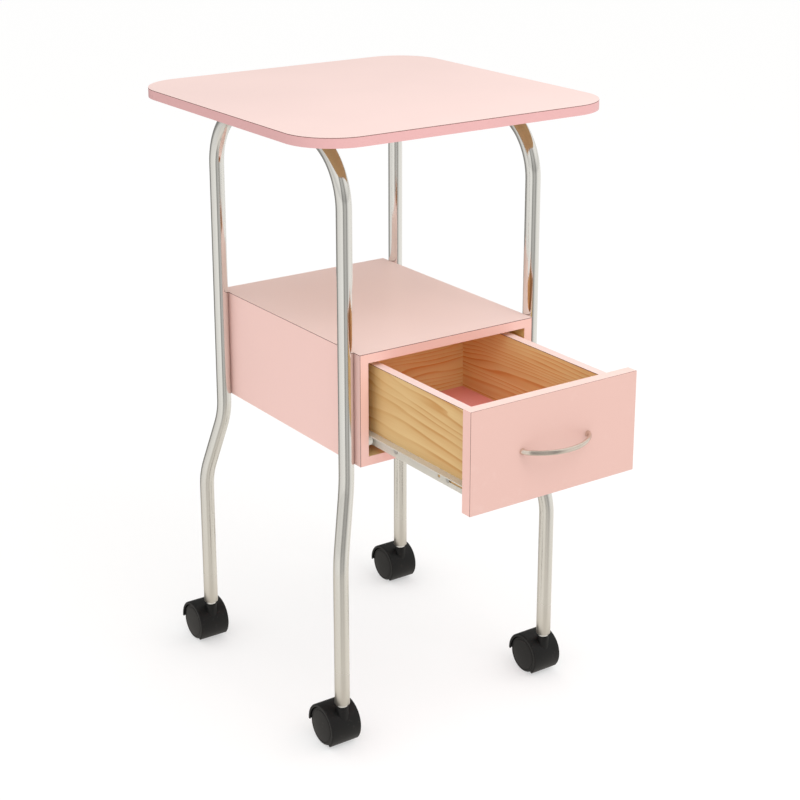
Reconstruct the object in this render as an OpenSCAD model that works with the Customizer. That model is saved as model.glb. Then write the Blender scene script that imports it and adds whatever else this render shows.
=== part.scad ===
// Manicure table: a rounded tabletop on two bent tubes, with a one-drawer case between them, on four castors.
// The origin is on the floor under the middle of the tabletop. +X is right, -Y is the front, +Z is up.

/* [Tabletop] */
// Width of the tabletop, left to right
top_w = 438; // [380:1:520]
// Depth of the tabletop, front to back
top_d = 444; // [420:1:540]
// Height of the tabletop's upper face above the floor
top_h = 784; // [690:1:900]
// Radius of the tabletop's corners
top_corner_r = 63; // [20:1:120]
// Thickness of the core boards of the tabletop and the case
board_t = 11.2; // [9:0.2:16]
// Thickness of the laminate sheets
laminate_t = 0.8; // [0.5:0.1:1.5]
// Thickness of the edge bands
band_t = 0.8; // [0.5:0.1:1.5]

/* [Frame tubes] */
// Outer diameter of the frame tubes
tube_d = 19; // [16:0.5:25]
// Wall thickness of the frame tubes
tube_wall = 1.2; // [1:0.1:2]
// Distance between the front and back leg of a tube, centre to centre
leg_span = 301; // [270:1:340]
// How far the frame and the case sit forward of the tabletop's middle
base_forward = 4; // [0:1:20]
// Centre-line radius of the bends under the tabletop
top_bend_r = 80; // [50:1:110]
// Centre-line radius of the bends that splay the legs
splay_bend_r = 120; // [80:1:180]
// Angle that the legs lean at between the two splay bends
splay_angle = 17; // [14:1:25]
// How far the feet stand out sideways from the upper legs
splay_x = 21; // [16:1:30]
// How far the feet stand out to the front and back from the upper legs
splay_y = 18; // [14:1:28]
// Height between the case's underside and the start of the splay
splay_drop = 8; // [2:1:20]

/* [Case] */
// Outer width of the case
case_w = 260; // [230:1:320]
// Outer depth of the case
case_d = 334; // [330:1:400]
// Outer height of the case
case_h = 142; // [125:1:200]
// Height of the case's underside above the floor
case_z = 367.5; // [320:0.5:420]

/* [Drawer] */
// How far the drawer stands open
drawer_open = 190; // [0:1:210]
// Thickness of the drawer front's core
front_t = 14; // [12:0.5:18]
// How far the drawer front laps over the case's front edges
front_lap = 2.5; // [1:0.5:8]
// Gap between the drawer front and the case when the drawer is shut
front_gap = 0.5; // [0.3:0.1:2]
// Thickness of the drawer's side and back boards
side_t = 12; // [9:0.5:15]
// Length of the drawer's sides
side_l = 298; // [250:1:300]
// Height of the drawer's sides above their runners, with the edge band
side_h = 100.5; // [70:0.5:105]
// Thickness of the drawer's bottom
bottom_t = 3; // [2.5:0.5:5]
// Depth of the groove that holds the drawer's bottom
groove_depth = 5; // [3:0.5:6]
// Height of the drawer's bottom above the lower edge of its sides
bottom_lift = 4; // [3:0.5:8]

/* [Runners] */
// Width of the space for a runner pair between a drawer side and the case
runner_space = 12.5; // [12:0.1:14]
// Thickness of the runners' sheet steel
runner_t = 1.2; // [1:0.1:1.5]
// Diameter of the runners' rollers
roller_d = 14; // [12:0.5:15]
// Width of the runners' rollers
roller_w = 6.5; // [5:0.5:7]
// Height of the case runners above the case's bottom panel
runner_lift = 7.5; // [5:0.5:12]

/* [Handle] */
// Distance between the handle's screws
handle_span = 96; // [64:1:128]
// How far the handle's bow stands out from its posts
handle_rise = 22; // [12:1:30]
// Length of the handle's posts
handle_post = 4; // [3:0.5:10]
// Diameter of the handle's bow
handle_d = 5.6; // [5:0.1:8]

/* [Castors] */
// Diameter of the castor wheels
wheel_d = 50; // [40:1:60]
// Width of one castor wheel
wheel_w = 13.5; // [10:0.5:18]
// Distance from the stem's axis back to the wheels' axle
trail = 18; // [15:0.5:22]
// Thickness of the hood's web between the two wheels
web_t = 12; // [11:0.5:16]
// How far the tube ends stand above the tops of the castor hoods
tube_lift = 6.5; // [6:0.5:15]
// Diameter of the stem where it turns in the hood
pivot_d = 8; // [6:0.5:9]
// Diameter of the stem where it sits in the tube's socket
stem_d = 10; // [8:0.5:11]
// Diameter of the castor axles
axle_d = 6; // [4:0.5:8]

/* [Fasteners] */
// Diameter of the wooden dowels
dowel_d = 6; // [5:0.5:8]
// Length of the wooden dowels
dowel_l = 22; // [18:1:22]
// Diameter of the frame screws
screw_d = 5; // [4:0.5:6]
// Diameter of the handle's screws
handle_screw_d = 4; // [3:0.5:4]

/* [Hidden] */
$fn = 72;

// Clearances
fit = 0.05; // radial play of pins, dowels and screws in their holes
seat = 0.15; // between a round tube and the flat board it is screwed to
run = 0.3; // between faces that move past each other
cut = 1; // how far a cutter passes the face it opens
joint_gap = 0.2; // between a straight stretch of tube and the bend it is joined to
ridge = 0.06; // how far the sleeve over a joint stands proud of the tube
sleeve_l = 1; // length of that sleeve

// Colours
pale_pink = [0.99, 0.89, 0.87];
pink = [0.93, 0.74, 0.72];
deep_pink = [0.90, 0.45, 0.50];
chrome = [0.80, 0.80, 0.79];
zinc = [0.85, 0.84, 0.80];
raw_board = [0.62, 0.48, 0.33];
pine = [0.86, 0.70, 0.45];
coated_steel = [0.82, 0.80, 0.76];
nylon = [0.92, 0.91, 0.88];
black_plastic = [0.10, 0.10, 0.10];

// Tabletop and frame
top_under = top_h - laminate_t - board_t;
tube_r = tube_d / 2;
tube_x = case_w / 2 + seat + tube_r;
tube_top_z = top_under - seat - tube_r;
leg_y = leg_span / 2;
splay_dist = sqrt(splay_x * splay_x + splay_y * splay_y);
splay_turn = atan2(splay_y, splay_x);
splay_straight = (splay_dist - 2 * splay_bend_r * (1 - cos(splay_angle))) / sin(splay_angle);
splay_high = 2 * splay_bend_r * sin(splay_angle) + splay_straight * cos(splay_angle);
splay_start_z = case_z - splay_drop;
foot_top_z = splay_start_z - splay_high;
top_screw_y = leg_y - top_bend_r - 20;
top_screw_bite = 8;
head_t = 2.8;
case_head_d = 1.8 * screw_d;

// Case
case_front = -case_d / 2;
inner_x = case_w / 2 - laminate_t - board_t;
floor_z = case_z + board_t;
roof_z = case_z + case_h - laminate_t - board_t;
panel_front = case_front + band_t;
panel_l = case_d - band_t;
case_dowel_ys = [-case_d / 3, 0, case_d / 3];
case_screw_zs = [case_z + case_h * 0.45, case_z + case_h * 0.75];

// Runners
runner_z = floor_z + runner_lift;
channel_h = roller_d + 2 * runner_t + 2 * run;
channel_w = runner_space - runner_t - 1.5;
channel_front = case_front + 20;
channel_back = case_d / 2 - board_t - 8;
case_roller_y = case_front + 10;
flange_z = runner_z + channel_h + run;
case_roller_z = flange_z - run - roller_d / 2;
drawer_roller_z = runner_z + runner_t + run + roller_d / 2;
flange_w = runner_space - runner_t - 2.5;
rivet_d = 4;
rivet_head_d = 7;
rivet_head_t = 0.9;
roller_gap = 0.3;

// Drawer, placed shut and then moved out
side_x = inner_x - runner_space;
side_z = runner_z + runner_t + 2.3;
web_z = side_z - runner_t;
side_top = side_z + side_h;
front_back_y = case_front - front_gap;
front_face_y = front_back_y - front_t;
front_z = floor_z - front_lap;
front_h = roof_z + front_lap - front_z;
front_x = inner_x + front_lap;
side_back = front_back_y + side_l;
bottom_z = side_z + bottom_lift;
groove_play = 0.1;
drawer_roller_y = side_back - 9;
drawer_runner_l = side_l - 2;
corner_dowel_zs = [side_z + side_h * 0.3, side_z + side_h * 0.75];
front_dowel_bite = front_t - 4;
back_dowel_bite = side_t - 4;
handle_z = front_z + front_h / 2;
handle_y = front_face_y - laminate_t;
handle_arc_r = (handle_span * handle_span / 4 + handle_rise * handle_rise) / (2 * handle_rise);
handle_arc_a = asin(handle_span / 2 / handle_arc_r);
post_d = handle_d + 2;

// Castors
foot_x = tube_x + splay_x;
foot_y = leg_y + splay_y;
wheel_r = wheel_d / 2;
fender_gap = 1;
fender_t = 2.5;
wheel_in = web_t / 2 + 0.5;
wheel_out = wheel_in + wheel_w;
fender_in = wheel_r + fender_gap;
fender_out = fender_in + fender_t;
tube_end_z = wheel_r + fender_out + tube_lift;
fender_x = wheel_out + run + 1.2;
fender_from = -3;
fender_sweep = 226;
lip = 3.8;
collar_d = 13;
collar_h = 3.5;
boss_d = 15;
boss_z = tube_end_z - collar_h - run;
socket_l = 25;
pivot_z = wheel_r + 4;
tread_round = 3;
dome = 1.2;
cap_wall = 3;

module on_base() {
    translate([0, -base_forward, 0]) children();
}

module in_drawer() {
    translate([0, -base_forward - drawer_open, 0]) children();
}

// A rod along X from x0 to x1
module rod_x(d, x0, x1) {
    translate([x0, 0, 0]) rotate([0, 90, 0]) cylinder(d = d, h = x1 - x0);
}

// A rod along Y from y0 to y1
module rod_y(d, y0, y1) {
    translate([0, y1, 0]) rotate([90, 0, 0]) cylinder(d = d, h = y1 - y0);
}

// A box between two corners
module block(low, high) {
    translate(low) cube(high - low);
}

module rounded_plate(w, d, r, h) {
    union() {
        translate([-w / 2 + r, -d / 2, 0]) cube([w - 2 * r, d, h]);
        translate([-w / 2, -d / 2 + r, 0]) cube([w, d - 2 * r, h]);
        for (sx = [-1, 1], sy = [-1, 1])
            translate([sx * (w / 2 - r), sy * (d / 2 - r), 0]) cylinder(r = r, h = h);
    }
}

// Tabletop

module top_screw_places() {
    for (sx = [-1, 1], sy = [-1, 1])
        translate([sx * tube_x, sy * top_screw_y, 0]) children();
}

module tabletop_core() {
    color(raw_board) difference() {
        translate([0, 0, top_under])
            rounded_plate(top_w - 2 * band_t, top_d - 2 * band_t, top_corner_r - band_t, board_t);
        on_base() top_screw_places()
            translate([0, 0, top_under - cut]) cylinder(d = screw_d + 2 * fit, h = top_screw_bite + cut + 0.5);
    }
}

module tabletop_laminate() {
    color(pale_pink) translate([0, 0, top_h - laminate_t])
        rounded_plate(top_w, top_d, top_corner_r, laminate_t);
}

module tabletop_edge_band() {
    color(pink) translate([0, 0, top_under]) difference() {
        rounded_plate(top_w, top_d, top_corner_r, board_t);
        translate([0, 0, -cut])
            rounded_plate(top_w - 2 * band_t, top_d - 2 * band_t, top_corner_r - band_t, board_t + 2 * cut);
    }
}

module tabletop_screws() {
    screw_low = tube_top_z - tube_r - seat;
    color(zinc) on_base() top_screw_places() translate([0, 0, screw_low]) {
        cylinder(d = screw_d, h = top_under + top_screw_bite - screw_low);
        translate([0, 0, -head_t]) cylinder(d = 1.8 * screw_d, h = head_t);
    }
}

// Frame tubes

module ring(proud) {
    difference() {
        circle(d = tube_d + 2 * proud);
        circle(d = tube_d - 2 * tube_wall - 2 * proud);
    }
}

// A sleeve over a joint at the origin
module sleeve() {
    translate([0, 0, -sleeve_l / 2]) linear_extrude(height = sleeve_l) ring(ridge);
}

// A straight stretch up from the origin, with a sleeve over each end that meets a bend
module straight_tube(l, low_joint) {
    low = low_joint ? joint_gap : 0;
    translate([0, 0, low]) linear_extrude(height = l - low - joint_gap) ring(0);
    if (low_joint) sleeve();
    translate([0, 0, l]) sleeve();
}

module bent_tube(r, angle) {
    rotate_extrude(angle = angle) translate([r, 0]) ring(0);
}

// The two splay bends with the leaning stretch between them, from the origin down and towards +X
module splay_bend() {
    bend_x = splay_bend_r * (1 - cos(splay_angle));
    bend_z = splay_bend_r * sin(splay_angle);
    translate([splay_bend_r, 0, 0]) rotate([90, 0, 0]) rotate([0, 0, 180])
        bent_tube(splay_bend_r, splay_angle);
    translate([bend_x, 0, -bend_z]) rotate([0, 180 - splay_angle, 0]) straight_tube(splay_straight, true);
    translate([splay_dist - splay_bend_r, 0, -splay_high]) rotate([90, 0, 0])
        bent_tube(splay_bend_r, splay_angle);
}

module leg(sy) {
    translate([0, sy * leg_y, splay_start_z])
        straight_tube(tube_top_z - top_bend_r - splay_start_z, true);
    translate([0, sy * leg_y, splay_start_z]) rotate([0, 0, sy * splay_turn]) splay_bend();
    translate([splay_x, sy * foot_y, tube_end_z]) straight_tube(foot_top_z - tube_end_z, false);
    translate([0, sy * (leg_y - top_bend_r), tube_top_z - top_bend_r]) rotate([90, 0, 90])
        rotate([0, 0, sy > 0 ? 0 : 90]) bent_tube(top_bend_r, 90);
}

// The right-hand tube with its screw holes
module frame_tube() {
    difference() {
        translate([tube_x, 0, 0]) union() {
            for (sy = [-1, 1]) leg(sy);
            translate([0, leg_y - top_bend_r, tube_top_z]) rotate([90, 0, 0])
                straight_tube(2 * (leg_y - top_bend_r), true);
        }
        top_screw_places()
            translate([0, 0, tube_top_z - tube_d]) cylinder(d = screw_d + 2 * fit, h = 2 * tube_d);
        for (sy = [-1, 1], z = case_screw_zs)
            translate([0, sy * leg_y, z]) rod_x(screw_d + 2 * fit, tube_x - tube_d, tube_x);
    }
}

module right_frame_tube() {
    color(chrome) on_base() frame_tube();
}

module left_frame_tube() {
    color(chrome) on_base() mirror([1, 0, 0]) frame_tube();
}

// Case

module side_pair() {
    children();
    mirror([1, 0, 0]) children();
}

module case_screws() {
    color(zinc) on_base() side_pair()
        for (sy = [-1, 1], z = case_screw_zs) translate([0, sy * leg_y, z]) {
            rod_x(screw_d, inner_x - cut, tube_x - 2);
            rod_x(case_head_d, inner_x - head_t, inner_x);
        }
}

module case_dowel_places() {
    for (y = case_dowel_ys, z = [floor_z - board_t / 2, roof_z + board_t / 2])
        translate([0, y, z]) children();
}

module case_dowel(play) {
    rod_x(dowel_d + 2 * play, inner_x + back_dowel_bite - dowel_l - 2 * play, inner_x + back_dowel_bite + 2 * play);
}

module case_dowels() {
    color(pine) on_base() side_pair() case_dowel_places() case_dowel(0);
}

module flat_panel(z0, z1) {
    difference() {
        block([-inner_x, panel_front, z0], [inner_x, panel_front + panel_l, z1]);
        side_pair() case_dowel_places() case_dowel(fit);
    }
}

module case_top_panel() {
    color(pink) on_base() flat_panel(roof_z, roof_z + board_t);
}

module case_bottom_panel() {
    color(pink) on_base() flat_panel(case_z, floor_z);
}

module runner_screw_places() {
    for (y = [channel_front + 25, (channel_front + channel_back) / 2, channel_back - 25])
        translate([0, y, runner_z + channel_h / 2]) children();
}

module case_side_panel() {
    difference() {
        block([inner_x, panel_front, case_z], [inner_x + board_t, panel_front + panel_l, roof_z + board_t]);
        case_dowel_places() case_dowel(fit);
        for (sy = [-1, 1], z = case_screw_zs)
            translate([0, sy * leg_y, z]) rod_x(screw_d + 2 * fit, inner_x - cut, case_w / 2 + cut);
        runner_screw_places() rod_x(3.5 + 2 * fit, inner_x - cut, inner_x + 9.5);
        translate([0, case_roller_y, case_roller_z]) rod_x(rivet_head_d + 1, inner_x - cut, inner_x + 1.5);
    }
}

module case_right_panel() {
    color(pink) on_base() case_side_panel();
}

module case_left_panel() {
    color(pink) on_base() mirror([1, 0, 0]) case_side_panel();
}

module case_back_panel() {
    color(pink) on_base() difference() {
        block([-inner_x, case_d / 2 - board_t, floor_z], [inner_x, case_d / 2, roof_z]);
        side_pair() for (z = case_screw_zs) translate([0, leg_y, z])
            rod_x(case_head_d + 4 * fit, inner_x - head_t - fit, inner_x + cut);
    }
}

module case_top_laminate() {
    color(pale_pink) on_base()
        block([-case_w / 2, case_front, roof_z + board_t], [case_w / 2, case_d / 2, case_z + case_h]);
}

module case_side_laminate() {
    difference() {
        block([inner_x + board_t, case_front, case_z], [case_w / 2, case_d / 2, roof_z + board_t]);
        for (sy = [-1, 1], z = case_screw_zs)
            translate([0, sy * leg_y, z]) rod_x(screw_d + 2 * fit, inner_x, case_w / 2 + cut);
    }
}

module case_right_laminate() {
    color(pink) on_base() case_side_laminate();
}

module case_left_laminate() {
    color(pink) on_base() mirror([1, 0, 0]) case_side_laminate();
}

module case_edge_band() {
    band_x = inner_x + board_t;
    color(pink) on_base() difference() {
        block([-band_x, case_front, case_z], [band_x, panel_front, roof_z + board_t]);
        block([-inner_x, case_front - cut, floor_z], [inner_x, panel_front + cut, roof_z]);
    }
}

// Runners: the case runner is a channel on the case's side, open towards the drawer

module case_runner() {
    outer = inner_x;
    difference() {
        union() {
            block([outer - runner_t, case_front + 2, runner_z], [outer, channel_back, runner_z + channel_h]);
            for (z = [runner_z, runner_z + channel_h - runner_t])
                block([outer - channel_w, channel_front, z], [outer, channel_back, z + runner_t]);
            block([outer - channel_w, channel_back - runner_t, runner_z],
                [outer, channel_back, runner_z + channel_h]);
        }
        runner_screw_places() rod_x(3.5 + 2 * fit, outer - runner_t - cut, outer + cut);
        translate([0, case_roller_y, case_roller_z]) rod_x(rivet_d + 2 * fit, outer - runner_t - cut, outer + cut);
    }
}

module right_case_runner() {
    color(coated_steel) on_base() case_runner();
}

module left_case_runner() {
    color(coated_steel) on_base() mirror([1, 0, 0]) case_runner();
}

module case_runner_screws() {
    color(zinc) on_base() side_pair() runner_screw_places() {
        rod_x(3.5, inner_x - runner_t - 0.5, inner_x + 9);
        rod_x(6.5, inner_x - runner_t - 1.4, inner_x - runner_t);
    }
}

// A roller from x0 with its bore
module roller(x0) {
    difference() {
        rod_x(roller_d, x0, x0 + roller_w);
        rod_x(rivet_d + 2 * fit, x0 - cut, x0 + roller_w + cut);
    }
}

module case_roller() {
    translate([0, case_roller_y, case_roller_z]) roller(inner_x - runner_t - roller_gap - roller_w);
}

module right_case_roller() {
    color(nylon) on_base() case_roller();
}

module left_case_roller() {
    color(nylon) on_base() mirror([1, 0, 0]) case_roller();
}

module case_roller_rivets() {
    tip = inner_x - runner_t - 2 * roller_gap - roller_w;
    color(zinc) on_base() side_pair() translate([0, case_roller_y, case_roller_z]) {
        rod_x(rivet_d, tip - rivet_head_t, inner_x + rivet_head_t);
        rod_x(rivet_head_d, tip - rivet_head_t, tip);
        rod_x(rivet_head_d, inner_x, inner_x + rivet_head_t);
    }
}

// Drawer

module drawer_front_core() {
    color(raw_board) in_drawer() difference() {
        block([-front_x + band_t, front_face_y, front_z + band_t],
            [front_x - band_t, front_back_y, front_z + front_h - band_t]);
        block([-side_x + side_t - groove_depth - groove_play, front_back_y - groove_depth, bottom_z - groove_play],
            [side_x - side_t + groove_depth + groove_play, front_back_y + cut, bottom_z + bottom_t + groove_play]);
        side_pair() front_dowels(fit);
        handle_places() rod_y(handle_screw_d + 2 * fit, front_face_y - cut, front_back_y + cut);
    }
}

module drawer_front_laminate() {
    color(pink) in_drawer() difference() {
        block([-front_x, front_face_y - laminate_t, front_z], [front_x, front_face_y, front_z + front_h]);
        handle_places() rod_y(handle_screw_d + 2 * fit, front_face_y - cut - laminate_t, front_face_y + cut);
    }
}

module drawer_front_edge_band() {
    color(pale_pink) in_drawer() difference() {
        block([-front_x, front_face_y, front_z], [front_x, front_back_y, front_z + front_h]);
        block([-front_x + band_t, front_face_y - cut, front_z + band_t],
            [front_x - band_t, front_back_y + cut, front_z + front_h - band_t]);
    }
}

module front_dowels(play) {
    for (z = corner_dowel_zs) translate([side_x - side_t / 2, 0, z])
        rod_y(dowel_d + 2 * play, front_back_y - front_dowel_bite - 2 * play,
            front_back_y - front_dowel_bite + dowel_l + 2 * play);
}

module back_dowels(play) {
    for (z = corner_dowel_zs) translate([0, side_back - side_t / 2, z])
        rod_x(dowel_d + 2 * play, side_x - side_t + back_dowel_bite - dowel_l - 2 * play,
            side_x - side_t + back_dowel_bite + 2 * play);
}

module drawer_dowels() {
    color(pine) in_drawer() side_pair() {
        front_dowels(0);
        back_dowels(0);
    }
}

module drawer_screw_places() {
    for (y = [front_back_y + 45, (front_back_y + side_back) / 2, side_back - 45])
        translate([0, y, side_z + 7]) children();
}

module drawer_side() {
    difference() {
        block([side_x - side_t, front_back_y, side_z], [side_x, side_back, side_top - band_t]);
        block([side_x - side_t - cut, front_back_y - cut, bottom_z - groove_play],
            [side_x - side_t + groove_depth + groove_play, side_back + cut, bottom_z + bottom_t + groove_play]);
        front_dowels(fit);
        back_dowels(fit);
        drawer_screw_places() rod_x(3.5 + 2 * fit, side_x - 6.5, side_x + cut);
        translate([0, drawer_roller_y, drawer_roller_z]) rod_x(rivet_head_d + 1, side_x - 1.5, side_x + cut);
    }
}

module drawer_right_side() {
    color(pine) in_drawer() drawer_side();
}

module drawer_left_side() {
    color(pine) in_drawer() mirror([1, 0, 0]) drawer_side();
}

module drawer_back() {
    color(pine) in_drawer() difference() {
        block([-side_x + side_t, side_back - side_t, side_z], [side_x - side_t, side_back, side_top - band_t]);
        block([-side_x, side_back - side_t - cut, bottom_z - groove_play],
            [side_x, side_back - side_t + groove_depth + groove_play, bottom_z + bottom_t + groove_play]);
        side_pair() back_dowels(fit);
    }
}

module drawer_bottom() {
    bottom_x = side_x - side_t + groove_depth;
    color(deep_pink) in_drawer()
        block([-bottom_x, front_back_y - groove_depth + groove_play, bottom_z],
            [bottom_x, side_back - side_t + groove_depth, bottom_z + bottom_t]);
}

module drawer_top_bands() {
    color(pale_pink) in_drawer() {
        side_pair() block([side_x - side_t, front_back_y, side_top - band_t], [side_x, side_back, side_top]);
        block([-side_x + side_t, side_back - side_t, side_top - band_t], [side_x - side_t, side_back, side_top]);
    }
}

// The drawer runner is a web on the drawer's side, with a flange under the side and a flange outwards at the top
module drawer_runner() {
    front_y = front_back_y + 1;
    back_y = front_y + drawer_runner_l;
    web_x = side_x + runner_t;
    slot_y = front_y + 12;
    difference() {
        union() {
            block([side_x, front_y, web_z], [web_x, back_y, flange_z + runner_t]);
            block([side_x - side_t + 2, front_y, web_z], [web_x, back_y, side_z]);
            block([side_x, front_y, flange_z], [web_x + flange_w, back_y - 12, flange_z + runner_t]);
        }
        drawer_screw_places() rod_x(3.5 + 2 * fit, side_x - cut, web_x + cut);
        translate([0, front_y + 62, side_z + 6]) rod_x(5, side_x - cut, web_x + cut);
        block([side_x - cut, slot_y, side_z + 5], [web_x + cut, slot_y + 30, side_z + 8]);
        for (y = [slot_y, slot_y + 30])
            translate([0, y, side_z + 6.5]) rod_x(3, side_x - cut, web_x + cut);
        translate([0, drawer_roller_y, drawer_roller_z]) rod_x(rivet_d + 2 * fit, side_x - cut, web_x + cut);
    }
}

module right_drawer_runner() {
    color(coated_steel) in_drawer() drawer_runner();
}

module left_drawer_runner() {
    color(coated_steel) in_drawer() mirror([1, 0, 0]) drawer_runner();
}

module drawer_runner_screws() {
    color(zinc) in_drawer() side_pair() drawer_screw_places() {
        rod_x(3.5, side_x - 6, side_x + runner_t + 0.5);
        rod_x(6.5, side_x + runner_t, side_x + runner_t + 1.1);
    }
}

module drawer_roller() {
    translate([0, drawer_roller_y, drawer_roller_z]) roller(side_x + runner_t + roller_gap);
}

module right_drawer_roller() {
    color(nylon) in_drawer() drawer_roller();
}

module left_drawer_roller() {
    color(nylon) in_drawer() mirror([1, 0, 0]) drawer_roller();
}

module drawer_roller_rivets() {
    tip = side_x + runner_t + 2 * roller_gap + roller_w;
    color(zinc) in_drawer() side_pair() translate([0, drawer_roller_y, drawer_roller_z]) {
        rod_x(rivet_d, side_x - rivet_head_t, tip + rivet_head_t);
        rod_x(rivet_head_d, tip, tip + rivet_head_t);
        rod_x(rivet_head_d, side_x - rivet_head_t, side_x);
    }
}

// Handle: a bow between two posts

module handle_places() {
    for (sx = [-1, 1]) translate([sx * handle_span / 2, 0, handle_z]) children();
}

module drawer_handle() {
    bow_y = handle_y - handle_post;
    color(coated_steel) in_drawer() difference() {
        union() {
            translate([0, bow_y + handle_arc_r - handle_rise, handle_z]) rotate([0, 0, 270 - handle_arc_a])
                rotate_extrude(angle = 2 * handle_arc_a) translate([handle_arc_r, 0]) circle(d = handle_d);
            handle_places() rod_y(post_d, bow_y, handle_y);
            handle_places() translate([0, bow_y, 0]) sphere(d = post_d);
        }
        handle_places() rod_y(handle_screw_d + 2 * fit, handle_y - handle_post, handle_y + cut);
    }
}

module handle_screws() {
    color(zinc) in_drawer() handle_places() {
        rod_y(handle_screw_d, handle_y - handle_post + 1, front_back_y + 1);
        rod_y(2 * handle_screw_d, front_back_y, front_back_y + 2.4);
    }
}

// Castors: every module below draws one castor with its stem's axis on Z and its axle behind it

// Places a castor under a foot: sx is -1 at the left, sy is -1 at the front
module at_foot(sx, sy) {
    on_base() translate([sx * foot_x, sy * foot_y, 0]) children();
}

module each_foot() {
    for (sx = [-1, 1], sy = [-1, 1]) at_foot(sx, sy) children();
}

// Turns a shape drawn around Z so that it lies around the axle
module around_axle() {
    translate([0, trail, wheel_r]) rotate([90, 0, 90]) children();
}

module castor_sockets() {
    color(black_plastic) each_foot() translate([0, 0, tube_end_z]) difference() {
        cylinder(d = tube_d - 2 * tube_wall - 2 * fit, h = socket_l);
        translate([0, 0, -cut]) cylinder(d = stem_d + 2 * fit, h = socket_l + 2 * cut);
    }
}

module castor_stems() {
    color(zinc) each_foot() {
        translate([0, 0, pivot_z]) cylinder(d = pivot_d, h = tube_end_z - pivot_z);
        translate([0, 0, tube_end_z - collar_h]) cylinder(d = collar_d, h = collar_h);
        translate([0, 0, tube_end_z - cut]) cylinder(d = stem_d, h = socket_l - 2 + cut);
    }
}

// The web between the wheels: a disc with the part below the fender taken out, and a hub around the axle
module web_shape() {
    fender_to = fender_from + fender_sweep;
    open = 360 - fender_sweep;
    far = 2 * fender_out;
    difference() {
        circle(r = fender_in + 1);
        polygon([
            [0, 0],
            [far * cos(fender_to), far * sin(fender_to)],
            [far * cos(fender_to + open / 2), far * sin(fender_to + open / 2)],
            [far * cos(fender_from), far * sin(fender_from)]
        ]);
    }
    circle(r = axle_d);
}

module fender_shape() {
    translate([fender_in, -fender_x]) square([fender_out - fender_in, 2 * fender_x]);
    for (s = [0, 1]) mirror([0, s]) translate([fender_out - lip, fender_x - 1.2]) square([lip, 1.2]);
}

module hood() {
    difference() {
        union() {
            around_axle() translate([0, 0, -web_t / 2]) linear_extrude(height = web_t) web_shape();
            around_axle() rotate([0, 0, fender_from]) rotate_extrude(angle = fender_sweep) fender_shape();
            difference() {
                translate([0, 0, wheel_r]) cylinder(d = boss_d, h = boss_z - wheel_r);
                around_axle() translate([0, 0, -fender_x]) cylinder(r = fender_in + 0.8, h = 2 * fender_x);
            }
        }
        translate([0, 0, pivot_z - run]) cylinder(d = pivot_d + 2 * fit, h = boss_z);
        around_axle() translate([0, 0, -web_t]) cylinder(d = axle_d + 2 * fit, h = 2 * web_t);
    }
}

module axle() {
    half = wheel_out - cap_wall - 0.5;
    around_axle() translate([0, 0, -half]) cylinder(d = axle_d, h = 2 * half);
}

// The wheel on the +X side of a castor: a rounded tread edge and a domed face that closes over the axle's end
module wheel() {
    face_r = wheel_r - tread_round;
    dome_r = (face_r * face_r + dome * dome) / (2 * dome);
    around_axle() translate([0, 0, wheel_in]) rotate_extrude() difference() {
        union() {
            square([face_r, wheel_w]);
            square([wheel_r, wheel_w - tread_round]);
            translate([face_r, wheel_w - tread_round]) circle(r = tread_round);
            intersection() {
                translate([0, wheel_w - dome]) square([face_r, 3 * dome]);
                translate([0, wheel_w + dome - dome_r]) circle(r = dome_r, $fn = 720);
            }
        }
        translate([0, -cut]) square([axle_d / 2 + fit, wheel_w - cap_wall + cut]);
    }
}

module front_left_hood() {
    color(black_plastic) at_foot(-1, -1) hood();
}

module front_right_hood() {
    color(black_plastic) at_foot(1, -1) hood();
}

module back_left_hood() {
    color(black_plastic) at_foot(-1, 1) hood();
}

module back_right_hood() {
    color(black_plastic) at_foot(1, 1) hood();
}

module front_left_axle() {
    color(zinc) at_foot(-1, -1) axle();
}

module front_right_axle() {
    color(zinc) at_foot(1, -1) axle();
}

module back_left_axle() {
    color(zinc) at_foot(-1, 1) axle();
}

module back_right_axle() {
    color(zinc) at_foot(1, 1) axle();
}

// The wheel of a castor on the side away from the table's middle, or towards it
module side_wheel(sx, sy, side) {
    color(black_plastic) at_foot(sx, sy) mirror([sx * side > 0 ? 0 : 1, 0, 0]) wheel();
}

tabletop_core();
tabletop_laminate();
tabletop_edge_band();
left_frame_tube();
right_frame_tube();
tabletop_screws();
case_screws();
case_top_panel();
case_bottom_panel();
case_left_panel();
case_right_panel();
case_back_panel();
case_dowels();
case_top_laminate();
case_left_laminate();
case_right_laminate();
case_edge_band();
left_case_runner();
right_case_runner();
left_case_roller();
right_case_roller();
case_roller_rivets();
case_runner_screws();
drawer_front_core();
drawer_front_laminate();
drawer_front_edge_band();
drawer_left_side();
drawer_right_side();
drawer_back();
drawer_bottom();
drawer_top_bands();
drawer_dowels();
drawer_handle();
handle_screws();
left_drawer_runner();
right_drawer_runner();
left_drawer_roller();
right_drawer_roller();
drawer_roller_rivets();
drawer_runner_screws();
castor_sockets();
castor_stems();
front_left_hood();
front_right_hood();
back_left_hood();
back_right_hood();
front_left_axle();
front_right_axle();
back_left_axle();
back_right_axle();
side_wheel(-1, -1, 1);  // front_left_outer_wheel
side_wheel(-1, -1, -1);  // front_left_inner_wheel
side_wheel(1, -1, 1);  // front_right_outer_wheel
side_wheel(1, -1, -1);  // front_right_inner_wheel
side_wheel(-1, 1, 1);  // back_left_outer_wheel
side_wheel(-1, 1, -1);  // back_left_inner_wheel
side_wheel(1, 1, 1);  // back_right_outer_wheel
side_wheel(1, 1, -1);  // back_right_inner_wheel
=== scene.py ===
import math

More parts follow.
